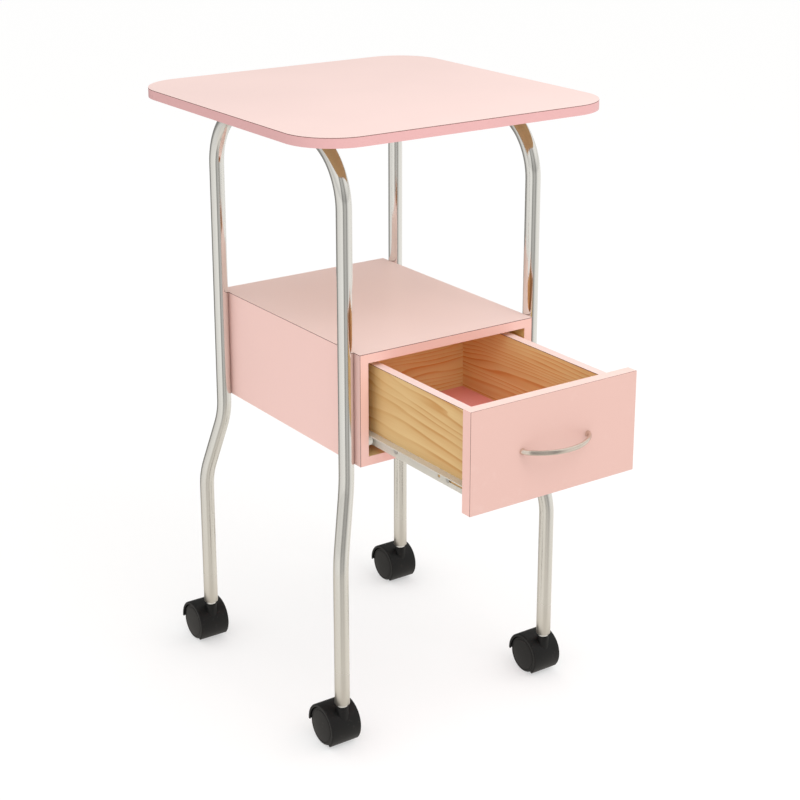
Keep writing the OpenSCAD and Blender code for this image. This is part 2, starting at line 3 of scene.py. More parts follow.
import bmesh
import bpy
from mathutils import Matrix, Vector


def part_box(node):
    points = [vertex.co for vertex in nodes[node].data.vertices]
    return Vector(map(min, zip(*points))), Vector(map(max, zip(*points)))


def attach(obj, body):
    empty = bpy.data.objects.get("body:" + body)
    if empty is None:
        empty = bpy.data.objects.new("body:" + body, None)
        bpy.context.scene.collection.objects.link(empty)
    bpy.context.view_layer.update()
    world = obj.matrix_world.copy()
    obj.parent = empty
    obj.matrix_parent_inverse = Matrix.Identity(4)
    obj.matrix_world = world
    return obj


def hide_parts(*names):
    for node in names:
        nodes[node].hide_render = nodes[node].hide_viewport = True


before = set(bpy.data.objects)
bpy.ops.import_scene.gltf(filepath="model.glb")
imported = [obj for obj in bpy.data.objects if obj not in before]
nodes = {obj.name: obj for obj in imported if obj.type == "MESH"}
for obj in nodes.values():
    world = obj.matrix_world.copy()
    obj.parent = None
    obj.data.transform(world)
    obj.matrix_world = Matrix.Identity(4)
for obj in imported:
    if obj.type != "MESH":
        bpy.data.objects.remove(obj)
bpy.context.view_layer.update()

MM = 0.001
WELD = 1e-6


# ---------------------------------------------------------------- node helpers

class Graph:
    """Short calls for building the nodes of one material or of the world."""

    def __init__(self, tree):
        self.tree = tree
        tree.nodes.clear()

    def node(self, kind, **values):
        n = self.tree.nodes.new(kind)
        for key, value in values.items():
            setattr(n, key, value)
        return n

    def link(self, out, into):
        self.tree.links.new(out, into)

    def put(self, socket, value):
        if isinstance(value, bpy.types.NodeSocket):
            self.link(value, socket)
        else:
            socket.default_value = value

    def math(self, op, a, b=0.0):
        n = self.node("ShaderNodeMath", operation=op)
        self.put(n.inputs[0], a)
        self.put(n.inputs[1], b)
        return n.outputs[0]

    def mix(self, factor, a, b, blend="MIX"):
        n = self.node("ShaderNodeMix", data_type="RGBA", blend_type=blend)
        self.put(n.inputs[0], factor)
        for socket, value in ((n.inputs[6], a), (n.inputs[7], b)):
            self.put(socket, (*value, 1.0) if isinstance(value, tuple) and len(value) == 3 else value)
        return n.outputs[2]

    def ramp(self, value, stops, mode="LINEAR"):
        n = self.node("ShaderNodeValToRGB")
        n.color_ramp.interpolation = mode
        points = n.color_ramp.elements
        while len(points) > 1:
            points.remove(points[-1])
        for i, (place, colour) in enumerate(stops):
            point = points[0] if i == 0 else points.new(place)
            point.position = place
            point.color = (*colour, 1.0) if isinstance(colour, tuple) else (colour, colour, colour, 1.0)
        self.put(n.inputs[0], value)
        return n.outputs[0]

    def coords(self, scale=(1, 1, 1), turn=(0, 0, 0), shift=(0, 0, 0)):
        """Object coordinates in metres, turned, then scaled."""
        place = self.node("ShaderNodeTexCoord").outputs["Object"]
        n = self.node("ShaderNodeMapping", vector_type="POINT")
        self.link(place, n.inputs[0])
        n.inputs[1].default_value = shift
        n.inputs[2].default_value = turn
        n.inputs[3].default_value = scale
        return n.outputs[0]

    def noise(self, vector, scale, detail=3.0, rough=0.5, distortion=0.0):
        n = self.node("ShaderNodeTexNoise")
        self.link(vector, n.inputs["Vector"])
        n.inputs["Scale"].default_value = scale
        n.inputs["Detail"].default_value = detail
        n.inputs["Roughness"].default_value = rough
        n.inputs["Distortion"].default_value = distortion
        return n.outputs[0]

    def bump(self, height, distance, strength):
        n = self.node("ShaderNodeBump")
        n.inputs["Strength"].default_value = strength
        n.inputs["Distance"].default_value = distance
        self.link(height, n.inputs["Height"])
        return n.outputs[0]

    def split(self, vector):
        """The X, Y and Z outputs of a vector."""
        n = self.node("ShaderNodeSeparateXYZ")
        self.link(vector, n.inputs[0])
        return n.outputs

    def stretch(self, vector, turn, scale):
        """A vector turned, then scaled."""
        n = self.node("ShaderNodeMapping")
        self.link(vector, n.inputs[0])
        n.inputs[2].default_value = turn
        n.inputs[3].default_value = scale
        return n.outputs[0]

    def facing(self, axis):
        """1 where the flat face looks along an axis, either way."""
        normal = self.split(self.node("ShaderNodeNewGeometry").outputs["True Normal"])
        return self.math("GREATER_THAN", self.math("ABSOLUTE", normal["XYZ".index(axis)]), 0.6)

    def mix_shader(self, share, first, second):
        n = self.node("ShaderNodeMixShader")
        self.put(n.inputs[0], share)
        self.link(first.outputs[0], n.inputs[1])
        self.link(second.outputs[0], n.inputs[2])
        return n


def srgb(r, g, b):
    """A colour in 0 to 255 as the linear values that shaders take."""
    return tuple((c / 255 / 12.92) if c <= 10 else ((c / 255 + 0.055) / 1.055) ** 2.4 for c in (r, g, b))


def shade(colour, factor):
    """A linear colour made lighter or darker, never past white."""
    return tuple(min(1.0, c * factor) for c in colour)


def material(name, build, **constants):
    """A Principled material: build gives node outputs by socket, and constants are set on the sockets themselves."""
    m = bpy.data.materials.new(name)
    m.use_nodes = True
    g = Graph(m.node_tree)
    shader = g.node("ShaderNodeBsdfPrincipled")
    out = g.node("ShaderNodeOutputMaterial")
    g.link(shader.outputs[0], out.inputs[0])
    for key, value in constants.items():
        shader.inputs[key.replace("_", " ")].default_value = value
    for key, value in build(g).items():
        if key == "Base Color" and isinstance(value, tuple):
            value = (*value, 1.0)
        g.put(shader.inputs[key], value)
    return m


# ---------------------------------------------------------------- materials

DARK_EDGE = srgb(122, 84, 78)
SCUFF = (1.0, 0.93, 0.91)


def laminate(name, colour, axis, seed):
    """High-pressure laminate: a satin pink face with a faint mottle, and a brown core at the sheet's cut edges."""
    def build(g):
        place = g.coords(shift=(seed, seed * 0.7, 0))
        cloud = g.noise(place, 5.0, 2.0)
        speck = g.noise(place, 900.0, 2.0)
        tint = g.mix(cloud, shade(colour, 0.972), shade(colour, 1.025))
        tint = g.mix(g.math("MULTIPLY", speck, 0.10), tint, shade(colour, 0.93))
        scuff = g.ramp(g.noise(g.coords((3, 30, 3), (0, 0, 0.4)), 14.0, 4.0, 0.65), [(0.60, 0.0), (0.72, 1.0)])
        tint = g.mix(g.math("MULTIPLY", scuff, 0.035), tint, SCUFF)
        edge = g.math("SUBTRACT", 1.0, g.facing(axis))
        streak = g.noise(g.coords((90, 90, 90)), 3.0, 2.0)
        core = g.mix(streak, shade(DARK_EDGE, 0.8), shade(DARK_EDGE, 1.25))
        peel = g.noise(place, 420.0, 2.0)
        rough = g.math("ADD", g.math("MULTIPLY", cloud, 0.10), g.math("MULTIPLY", scuff, -0.05))
        return {
            "Base Color": g.mix(edge, tint, core),
            "Roughness": g.math("ADD", g.math("ADD", rough, 0.34), g.math("MULTIPLY", edge, 0.25)),
            "Normal": g.bump(peel, 0.00006, 0.35),
        }
    return material(name, build, Specular_IOR_Level=0.32)


def edge_band(name, colour, along, seed):
    """Plastic edge band: even colour, faint drawn lines along its length, softly worn."""
    def build(g):
        lines = g.noise(g.coords(along, shift=(seed, 0, seed)), 1.0, 3.0, 0.6)
        cloud = g.noise(g.coords(shift=(0, seed, 0)), 9.0, 2.0)
        tint = g.mix(cloud, shade(colour, 0.965), shade(colour, 1.03))
        tint = g.mix(g.math("MULTIPLY", lines, 0.08), tint, shade(colour, 0.88))
        return {
            "Base Color": tint,
            "Roughness": g.math("ADD", g.math("MULTIPLY", lines, 0.12), 0.38),
            "Normal": g.bump(lines, 0.00005, 0.4),
        }
    return material(name, build, Specular_IOR_Level=0.3)


def fibreboard(name):
    """Raw fibreboard: brown, short fibres and flecks, matt."""
    def build(g):
        place = g.coords()
        fibre = g.noise(g.coords((260, 900, 300)), 1.0, 5.0, 0.7)
        cloud = g.noise(place, 22.0, 4.0, 0.6)
        fleck = g.ramp(g.noise(place, 700.0, 2.0), [(0.60, 0.0), (0.70, 1.0)])
        tint = g.mix(cloud, srgb(184, 148, 106), srgb(206, 170, 126))
        tint = g.mix(g.math("MULTIPLY", fibre, 0.40), tint, srgb(150, 114, 76))
        tint = g.mix(g.math("MULTIPLY", fleck, 0.30), tint, srgb(116, 82, 54))
        return {
            "Base Color": tint,
            "Roughness": g.math("ADD", g.math("MULTIPLY", fibre, 0.15), 0.72),
            "Normal": g.bump(fibre, 0.0003, 0.5),
        }
    return material(name, build, Specular_IOR_Level=0.2)


LENGTH_FIRST = {"X": (0, 0, 0), "Y": (0, 0, math.radians(90))}
RING_SCALE = (2.1, 7.0, 13.0)
PORE_SCALE = (22, 160, 620)
RING_SHADE = [(0.0, 0.10), (0.62, 0.42), (0.90, 1.0), (0.97, 0.75), (1.0, 0.10)]


def pine(name, axis, tones, turn, seed, lines, waves):
    """Sawn pine: rings of early and late wood that wander along the board, stronger in patches, and fine pores.

    axis is the board's length and turn the slope of its grain. lines sets how close the rings are, and waves how
    far they wander.
    """
    early, late, streak = tones

    def build(g):
        # the board's length becomes X of the texture, its height Z
        board = g.coords((1, 1, 1), LENGTH_FIRST[axis], (seed, seed * 1.3, seed * 0.7))
        grain = g.stretch(board, (0, turn, 0), RING_SCALE)
        wander = g.noise(grain, 1.1, 2.0, 0.45, 0.5)
        across = g.split(grain)[2]
        rings = g.math("FRACT", g.math("ADD", g.math("MULTIPLY", across, lines), g.math("MULTIPLY", wander, waves)))
        band = g.ramp(rings, RING_SHADE, "EASE")
        pores = g.noise(g.stretch(board, (0, turn, 0), PORE_SCALE), 1.0, 4.0, 0.65)
        cloud = g.noise(grain, 0.9, 3.0)
        patchy = g.ramp(g.noise(grain, 3.4, 2.0), [(0.36, 0.40), (0.60, 1.0)])
        tint = g.mix(g.math("MULTIPLY", band, patchy), early, late)
        tint = g.mix(g.math("MULTIPLY", pores, 0.34), tint, streak)
        tint = g.mix(g.math("MULTIPLY", cloud, 0.40), tint, shade(late, 0.82))
        height = g.math("ADD", g.math("MULTIPLY", band, -0.6), g.math("MULTIPLY", pores, 0.6))
        return {
            "Base Color": tint,
            "Roughness": g.math("ADD", g.math("MULTIPLY", pores, 0.16), 0.46),
            "Normal": g.bump(height, 0.00012, 0.55),
        }
    return material(name, build, Specular_IOR_Level=0.28)


def chrome():
    """Chrome plate: drawn lines, hazy smears and a few pits, duller on the lower legs, and warmer there as a painted
    reflection of the floor.
    """
    def build(g):
        place = g.coords()
        smear = g.noise(g.coords((9, 9, 3)), 1.0, 4.0, 0.6)
        haze = g.noise(place, 60.0, 3.0)
        draw = g.noise(g.coords((700, 700, 6)), 1.0, 2.0)
        # by height in metres: 1 at the foot of a leg, 0 from the case up; it roughens the lower legs and tints them
        # warm as a painted reflection
        low = g.ramp(g.split(place)[2], [(0.05, 1.0), (0.11, 0.45), (0.33, 0.30), (0.42, 0.0)])
        tint = g.mix(smear, srgb(222, 220, 214), srgb(240, 239, 235))
        # painted reflection: the warm floor tint on the lower legs
        tint = g.mix(g.math("MULTIPLY", low, 0.6), tint, srgb(212, 204, 190))
        pits = g.ramp(g.noise(place, 700.0, 1.0), [(0.74, 0.0), (0.80, 1.0)])
        tint = g.mix(g.math("MULTIPLY", pits, 0.14), tint, srgb(150, 140, 128))
        rough = g.math("ADD", g.math("MULTIPLY", smear, 0.08), g.math("MULTIPLY", haze, 0.04))
        rough = g.math("ADD", rough, g.math("MULTIPLY", low, 0.34))
        height = g.math("ADD", smear, g.math("MULTIPLY", draw, 0.02))
        return {
            "Base Color": tint,
            "Roughness": g.math("ADD", rough, 0.04),
            "Normal": g.bump(height, 0.0006, 0.25),
        }
    return material("chrome_plate", build, Metallic=1.0)


def metal(name, dark, light, rough, stretch, depth=0.00004):
    """Plated or brushed steel, with fine lines along one direction."""
    def build(g):
        lines = g.noise(g.coords(stretch), 1.0, 3.0, 0.6)
        cloud = g.noise(g.coords(), 45.0, 2.0)
        tint = g.mix(g.math("MULTIPLY", g.math("ADD", lines, cloud), 0.5), dark, light)
        return {
            "Base Color": tint,
            "Roughness": g.math("ADD", g.math("MULTIPLY", lines, 0.14), rough - 0.07),
            "Normal": g.bump(lines, depth, 0.5),
        }
    return material(name, build, Metallic=1.0)


def plastic(name, colour, rough, grain, depth, spread=0.12, level=0.5):
    """Moulded plastic with a fine spark-eroded grain and a slight polish where it is handled."""
    def build(g):
        place = g.coords()
        fine = g.noise(place, grain, 3.0, 0.6)
        cloud = g.noise(place, 30.0, 3.0)
        tint = g.mix(cloud, shade(colour, 1 - spread), shade(colour, 1 + spread))
        dust = g.ramp(g.noise(place, 260.0, 2.0), [(0.62, 0.0), (0.75, 1.0)])
        tint = g.mix(g.math("MULTIPLY", dust, 0.05), tint, srgb(150, 145, 138))
        return {
            "Base Color": tint,
            "Roughness": g.math("ADD", g.math("MULTIPLY", cloud, 0.14), rough - 0.07),
            "Normal": g.bump(fine, depth, 0.5),
        }
    return material(name, build, Specular_IOR_Level=level)


def painted(name, colour):
    """Powder-coated sheet steel: orange peel, rubbed brighter along the track."""
    def build(g):
        place = g.coords()
        peel = g.noise(place, 1500.0, 2.0)
        track = g.noise(g.coords((4, 3, 500)), 1.0, 3.0, 0.6)
        cloud = g.noise(place, 30.0, 3.0)
        tint = g.mix(cloud, shade(colour, 0.90), shade(colour, 1.06))
        tint = g.mix(g.math("MULTIPLY", track, 0.22), tint, srgb(168, 162, 150))
        return {
            "Base Color": tint,
            "Roughness": g.math("ADD", g.math("MULTIPLY", track, 0.18), 0.28),
            "Normal": g.bump(peel, 0.00005, 0.5),
        }
    return material(name, build, Metallic=0.15)


# The four laminate colours below are copies of one pink laminate, told apart by how light falls: painted light. The
# tabletop's is lighter as a painted lit top, the case top's is lifted as painted fill against the tabletop's shade,
# and the drawer front's is darker as painted shade.
TOP_PAINTED_LIT = srgb(250, 222, 216)
CASE_TOP_PAINTED_FILL = srgb(255, 227, 222)
PINK = srgb(244, 205, 197)
FRONT_PAINTED_SHADE = srgb(220, 181, 171)
# The inside pine colours are copies of the outer pine tinted more orange: painted bounce light and shade inside the
# drawer and the case.
PINE_OUT = (srgb(238, 208, 152), srgb(202, 148, 84), srgb(204, 160, 98))
PINE_IN_PAINTED_BOUNCE = (srgb(255, 238, 176), srgb(220, 150, 80), srgb(246, 196, 124))
PINE_BACK_PAINTED_BOUNCE = (srgb(255, 242, 180), srgb(226, 160, 84), srgb(250, 208, 130))

# these laminate materials carry the painted light of their colours: lit top, lifted case top, shaded front
m_top = laminate("top_laminate", TOP_PAINTED_LIT, "Z", 0.0)
m_case_top = laminate("case_top_laminate", CASE_TOP_PAINTED_FILL, "Z", 1.7)
m_side = laminate("case_side_laminate", PINK, "X", 3.1)
m_front = laminate("drawer_front_laminate", FRONT_PAINTED_SHADE, "Y", 5.3)
m_band = edge_band("top_edge_band", srgb(219, 170, 169), (20, 20, 1500), 2.0)
m_case_band = edge_band("case_edge_band", srgb(240, 196, 186), (900, 900, 40), 4.0)
m_pale_band = edge_band("drawer_edge_band", srgb(252, 222, 214), (900, 30, 900), 6.0)
m_mdf = fibreboard("raw_fibreboard")
m_side_out = pine("pine_side", "Y", PINE_OUT, -0.58, 2.4, 6.5, 6.5)
m_side_in = pine("pine_inside", "Y", PINE_IN_PAINTED_BOUNCE, 0.05, 7.9, 12.0, 11.0)
m_back_in = pine("pine_back", "X", PINE_BACK_PAINTED_BOUNCE, -0.06, 4.2, 10.0, 12.0)
m_case_in = pine("pine_case", "Y", PINE_IN_PAINTED_BOUNCE, 0.0, 9.5, 6.0, 6.0)
m_bottom = laminate("drawer_bottom_board", srgb(255, 172, 170), "Z", 8.8)
m_chrome = chrome()
m_zinc = metal("bright_zinc", srgb(176, 174, 168), srgb(226, 225, 220), 0.30, (500, 500, 500))
# the castor collars are bright zinc drawn near white as a painted highlight
m_collar_painted_highlight = metal("castor_collar_painted_highlight", srgb(232, 231, 227), srgb(250, 249, 246), 0.50, (500, 500, 500))
m_nickel = metal("satin_nickel", srgb(198, 184, 170), srgb(242, 232, 221), 0.24, (30, 1500, 1500))
m_steel = painted("coated_steel", srgb(222, 217, 206))
m_nylon = plastic("white_nylon", srgb(232, 230, 222), 0.45, 900.0, 0.00004, 0.03)
m_hood = plastic("black_hood", srgb(16, 16, 16), 0.50, 1300.0, 0.00005, level=0.30)
m_wheel = plastic("black_wheel", srgb(14, 13, 13), 0.44, 1500.0, 0.00004, level=0.30)
m_tread = plastic("black_tread", srgb(20, 20, 19), 0.60, 800.0, 0.00008, level=0.25)


# ---------------------------------------------------------------- mesh helpers

def mark_sharp(bm, angle):
    """Smooths every edge whose faces meet at less than the angle."""
    for e in bm.edges:
        e.smooth = len(e.link_faces) == 2 and e.calc_face_angle(0.0) < math.radians(angle)


def add_piece(name, bm, mats, body, replaced, smooth_angle=40):
    """Turns the bmesh into an object that rides on a body and stands for CAD nodes."""
    bmesh.ops.recalc_face_normals(bm, faces=bm.faces)
    mark_sharp(bm, smooth_angle)
    mesh = bpy.data.meshes.new(name)
    bm.to_mesh(mesh)
    bm.free()
    for m in mats:
        mesh.materials.append(m)
    mesh.shade_smooth()
    obj = bpy.data.objects.new(name, mesh)
    bpy.context.scene.collection.objects.link(obj)
    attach(obj, body)
    if replaced:
        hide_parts(*replaced)
    return obj


def bridge(bm, ring_a, ring_b):
    """Faces between two closed rings of the same count."""
    count = len(ring_a)
    for i in range(count):
        j = (i + 1) % count
        bm.faces.new((ring_a[i], ring_a[j], ring_b[j], ring_b[i]))


def heading(path, k):
    """The direction of a path at its point k."""
    return (path[min(k + 1, len(path) - 1)] - path[max(k - 1, 0)]).normalized()


def sweep(bm, path, section):
    """Carries one section of (across, up) pairs along a path without twist. Returns the rings."""
    rings = []
    up = Vector((1, 0, 0))
    for k, point in enumerate(path):
        ahead = heading(path, k)
        up = (up - ahead * up.dot(ahead)).normalized()
        across = ahead.cross(up)
        rings.append([bm.verts.new(point + across * a + up * u) for a, u in section])
    for ring_a, ring_b in zip(rings, rings[1:]):
        bridge(bm, ring_a, ring_b)
    return rings


def circle(radius, count):
    """The (x, y) pairs of a circle."""
    return [(radius * math.cos(2 * math.pi * i / count), radius * math.sin(2 * math.pi * i / count))
            for i in range(count)]


def lathe(bm, profile, place, count, start=0.0, sweep_angle=360.0, mats=None):
    """Turns (along, radius) pairs round an axle along X. place(along, angle, radius) gives the point.

    mats gives the material index from each pair of the profile to the next.
    """
    whole = sweep_angle >= 360.0
    steps = count if whole else count + 1
    rings = []
    for i in range(steps):
        angle = math.radians(start + sweep_angle * i / count)
        rings.append([bm.verts.new(place(along, angle, radius)) for along, radius in profile])
    for i in range(count):
        ring_a, ring_b = rings[i], rings[(i + 1) % steps]
        for k in range(len(profile)):
            j = (k + 1) % len(profile)
            face = bm.faces.new((ring_a[k], ring_a[j], ring_b[j], ring_b[k]))
            face.material_index = mats[k] if mats else 0
    if not whole:
        bm.faces.new(rings[0])
        bm.faces.new(reversed(rings[-1]))
    bmesh.ops.remove_doubles(bm, verts=bm.verts, dist=WELD)


def curve(start, corner, end, t):
    """A point of the quadratic curve from start to end that bends towards corner."""
    return start * (1 - t) ** 2 + corner * 2 * t * (1 - t) + end * t * t


def rounded(points, radius, steps):
    """Rounds the corners of a closed outline of (x, y) points. A corner's radius is radius, or its third value."""
    out = []
    count = len(points)
    for i, point in enumerate(points):
        here = Vector(point[:2])
        wanted = point[2] if len(point) > 2 else radius
        to_last = Vector(points[i - 1][:2]) - here
        to_next = Vector(points[(i + 1) % count][:2]) - here
        reach = min(wanted, to_last.length * 0.45, to_next.length * 0.45)
        before = here + to_last.normalized() * reach
        after = here + to_next.normalized() * reach
        out += [tuple(curve(before, here, after, k / steps)) for k in range(steps + 1)]
    return out


# ---------------------------------------------------------------- frame tubes

TUBE_R = 9.5 * MM
TUBE_BORE = 8.3 * MM
TUBE_RIM = 0.35 * MM
BORE_DEPTH = 30 * MM
SLEEVE = 0.06 * MM
TOP_BEND = 80 * MM
SPLAY_BEND = 120 * MM
SPLAY_ANGLE = math.radians(17)
SPLAY_OUT = Vector((21 * MM, 18 * MM))
SPLAY_TOP = 359.5 * MM
TUBE_SIDES = 48
ARC_STEP = math.radians(2.5)


def arc_points(centre, first, second, angle):
    """Points of an arc from centre + first, turning towards second."""
    count = round(angle / ARC_STEP)
    return [centre + first * math.cos(angle * i / count) + second * math.sin(angle * i / count)
            for i in range(count + 1)]


def leg_points(side, end, x_up, y_up, foot_z, bend_z):
    """From the foot up to where the top bend starts. side and end are the signs of X and Y."""
    out = Vector((side * SPLAY_OUT.x, end * SPLAY_OUT.y, 0))
    dist = out.length
    out.normalize()
    up = Vector((0, 0, 1))
    straight = (dist - 2 * SPLAY_BEND * (1 - math.cos(SPLAY_ANGLE))) / math.sin(SPLAY_ANGLE)
    high = 2 * SPLAY_BEND * math.sin(SPLAY_ANGLE) + straight * math.cos(SPLAY_ANGLE)
    head = Vector((x_up, y_up, SPLAY_TOP))
    low = head + out * dist - up * high
    points = [Vector((low.x, low.y, foot_z + (low.z - foot_z) * k / 6)) for k in range(6)]
    points += arc_points(low - out * SPLAY_BEND, out * SPLAY_BEND, up * SPLAY_BEND, SPLAY_ANGLE)
    points += reversed(arc_points(head + out * SPLAY_BEND, -out * SPLAY_BEND, -up * SPLAY_BEND, SPLAY_ANGLE))
    points += [Vector((head.x, head.y, head.z + (bend_z - head.z) * k / 8)) for k in range(1, 8)]
    return points


def open_end(bm, ring, foot):
    """Gives the tube's end a thick rim and a short bore. foot is the middle of the ring."""
    for v in ring:
        v.co.z += TUBE_RIM
    last = ring
    for radius, depth in ((TUBE_R - TUBE_RIM, 0.0), (TUBE_BORE + TUBE_RIM, 0.0), (TUBE_BORE, TUBE_RIM),
                          (TUBE_BORE, BORE_DEPTH)):
        fresh = []
        for v in ring:
            flat = Vector((v.co.x - foot.x, v.co.y - foot.y, 0)).normalized() * radius
            fresh.append(bm.verts.new((foot.x + flat.x, foot.y + flat.y, foot.z + depth)))
        bridge(bm, last, fresh)
        last = fresh
    bm.faces.new(last)


def frame_tube(side, name):
    """One bent tube: foot, S-bend, leg, arch under the top, and down again."""
    low, high = (Vector(v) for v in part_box(name))
    top = high.z - TUBE_R - SLEEVE
    x_up = (low.x if side > 0 else high.x) + side * (TUBE_R + SLEEVE)
    y_low, y_high = low.y + TUBE_R + SPLAY_OUT.y, high.y - TUBE_R - SPLAY_OUT.y
    bend_z = top - TOP_BEND
    up = Vector((0, 0, TOP_BEND))
    along = Vector((0, TOP_BEND, 0))
    path = leg_points(side, -1, x_up, y_low, low.z, bend_z)
    path += arc_points(Vector((x_up, y_low + TOP_BEND, bend_z)), -along, up, math.pi / 2)
    path += [Vector((x_up, y_low + TOP_BEND + (y_high - y_low - 2 * TOP_BEND) * k / 6, top)) for k in range(1, 6)]
    path += arc_points(Vector((x_up, y_high - TOP_BEND, bend_z)), up, along, math.pi / 2)
    path += reversed(leg_points(side, 1, x_up, y_high, low.z, bend_z))
    bm = bmesh.new()
    rings = sweep(bm, path, circle(TUBE_R, TUBE_SIDES))
    for k in (0, -1):
        open_end(bm, rings[k], path[k])
    return add_piece(name.replace("frame_tube", "chrome_tube"), bm, [m_chrome], "table", [name], 60)


frame_tube(-1, "left_frame_tube")
frame_tube(1, "right_frame_tube")


# ---------------------------------------------------------------- handle

HANDLE_POST_R = 3.8 * MM
HANDLE_R = 2.8 * MM
HANDLE_POST = 4 * MM
HANDLE_WIDE = 1.12      # the bar is a little wider than it is thick
HANDLE_THICK = 0.86
FLARE_LENGTH = 3.5 * MM


def handle_line(half, face, out):
    """The bar's middle line as (x, y): an arc between two curved ends that stand on the face."""
    rise = out - HANDLE_POST
    radius = (half * half + rise * rise) / (2 * rise)
    reach = math.asin(half / radius)
    arc = [Vector((radius * math.sin(reach * k / 24),
                   face - HANDLE_POST - rise + radius * (1 - math.cos(reach * k / 24)))) for k in range(-20, 21)]
    ends = []
    for sign, tip in ((-1, arc[0]), (1, arc[-1])):
        foot = Vector((sign * half, face))
        knee = Vector((sign * half, face - HANDLE_POST - 1.5 * MM))
        ends.append([curve(foot, knee, tip, k / 10) for k in range(10)])
    return ends[0] + arc + ends[1][::-1]


def handle():
    """A bow handle whose oval bar flares into its two round feet."""
    low, high = (Vector(v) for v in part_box("drawer_handle"))
    middle = (low + high) / 2
    face = high.y
    line = handle_line((high.x - low.x) / 2 - HANDLE_POST_R, face, face - low.y - HANDLE_R)
    path = [Vector((middle.x + point.x, point.y, middle.z)) for point in line]
    lengths = [0.0]
    for here, there in zip(path, path[1:]):
        lengths.append(lengths[-1] + (there - here).length)
    up = Vector((0, 0, 1))
    bm = bmesh.new()
    rings = []
    for k, point in enumerate(path):
        ahead = heading(path, k)
        if k in (0, len(path) - 1):
            ahead = Vector((0, -1 if k == 0 else 1, 0))
        across = ahead.cross(up).normalized()
        flare = math.exp(-(min(lengths[k], lengths[-1] - lengths[k]) / FLARE_LENGTH) ** 2)
        wide = HANDLE_R * HANDLE_WIDE * (1 - flare) + HANDLE_POST_R * flare
        thick = HANDLE_R * HANDLE_THICK * (1 - flare) + HANDLE_POST_R * flare
        rings.append([bm.verts.new(point + up * (wide * u) + across * (thick * v)) for u, v in circle(1.0, 28)])
    for ring_a, ring_b in zip(rings, rings[1:]):
        bridge(bm, ring_a, ring_b)
    bm.faces.new(rings[0])
    bm.faces.new(reversed(rings[-1]))
    return add_piece("bow_handle", bm, [m_nickel], "drawer", ["drawer_handle"], 50)


handle()


# ---------------------------------------------------------------- castors

CORNERS = ("front_left", "front_right", "back_left", "back_right")
WHEEL_R = 25 * MM
WHEEL_IN = 6.5 * MM     # the wheel's two faces, from the middle of the castor
WHEEL_OUT = 20 * MM
WHEEL_BORE = 3.05 * MM
TREAD_ROUND = 3 * MM
DOME = 1.2 * MM
WEB = 6 * MM
HUB_R = 6 * MM
FENDER_IN = 26 * MM
FENDER_OUT = 28.5 * MM
FENDER_MID = FENDER_IN + 0.9 * MM
FENDER_X = 21.5 * MM
FENDER_WALL = 1.3 * MM
FENDER_FROM = -3.0      # degrees round the axle, from the back
FENDER_SWEEP = 226.0
LIP_IN = 24.7 * MM
TRAIL = 18 * MM
BOSS_R = 7.5 * MM
BOSS_BORE = 4.05 * MM
BOSS_TOP = 56.2 * MM


def castor_place(corner):
    """Gives the point at (along, angle, radius) round the castor's axle, and the foot of its stem."""
    low, high = (Vector(v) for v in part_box(corner + "_hood"))
    x = (low.x + high.x) / 2
    y = high.y - FENDER_OUT

    def place(along, angle, radius):
        return Vector((x + along, y + radius * math.cos(angle), WHEEL_R + radius * math.sin(angle)))
    return place, Vector((x, y - TRAIL, 0))


def castor_hood(corner):
    """The fender with its lips, the web between the wheels, and the boss round the stem."""
    place, stem = castor_place(corner)
    bm = bmesh.new()
    inner = FENDER_X - FENDER_WALL
    half = [(FENDER_X, FENDER_OUT, 1.6 * MM), (FENDER_X, LIP_IN, 0.5 * MM), (inner, LIP_IN, 0.5 * MM),
            (inner, FENDER_IN, 0.2 * MM)]
    outline = [(-FENDER_X, FENDER_OUT, 1.6 * MM)] + half
    outline += [(-x, radius, corner_r) for x, radius, corner_r in half[:0:-1]]
    lathe(bm, rounded(outline, 0.4 * MM, 4), place, 84, FENDER_FROM, FENDER_SWEEP)

    # the web ends inside the fender's wall
    hub = [(math.radians(a), HUB_R) for a in range(int(FENDER_FROM + FENDER_SWEEP) + 6, 354, 6)]
    rim = [(math.radians(FENDER_FROM + FENDER_SWEEP * k / 56), FENDER_MID) for k in range(57)]
    faces = [[bm.verts.new(place(side * WEB, angle, radius)) for angle, radius in rim + hub] for side in (-1, 1)]
    bridge(bm, faces[0], faces[1])
    bm.faces.new(faces[0])
    bm.faces.new(reversed(faces[1]))

    # so does the boss, which has a rounded rim and a bore
    profile = [(BOSS_R, None), (BOSS_R, BOSS_TOP - 0.8 * MM), (BOSS_R - 0.3 * MM, BOSS_TOP - 0.2 * MM),
               (BOSS_R - 0.9 * MM, BOSS_TOP), (BOSS_BORE + 0.5 * MM, BOSS_TOP),
               (BOSS_BORE, BOSS_TOP - 0.5 * MM), (BOSS_BORE, None)]

    def boss_point(angle, radius, z):
        ahead = radius * math.sin(angle)
        if z is None:
            z = WHEEL_R + math.sqrt(FENDER_MID ** 2 - (TRAIL - ahead) ** 2)
        return stem + Vector((radius * math.cos(angle), ahead, z))

    angles = [2 * math.pi * i / 40 for i in range(40)]
    rings = [[bm.verts.new(boss_point(angle, radius, z)) for radius, z in profile] for angle in angles]
    for i, ring in enumerate(rings):
        bridge(bm, ring, rings[(i + 1) % len(rings)])
    return add_piece(corner + "_castor_hood", bm, [m_hood], corner + "_castor", [corner + "_hood"],
                     35)


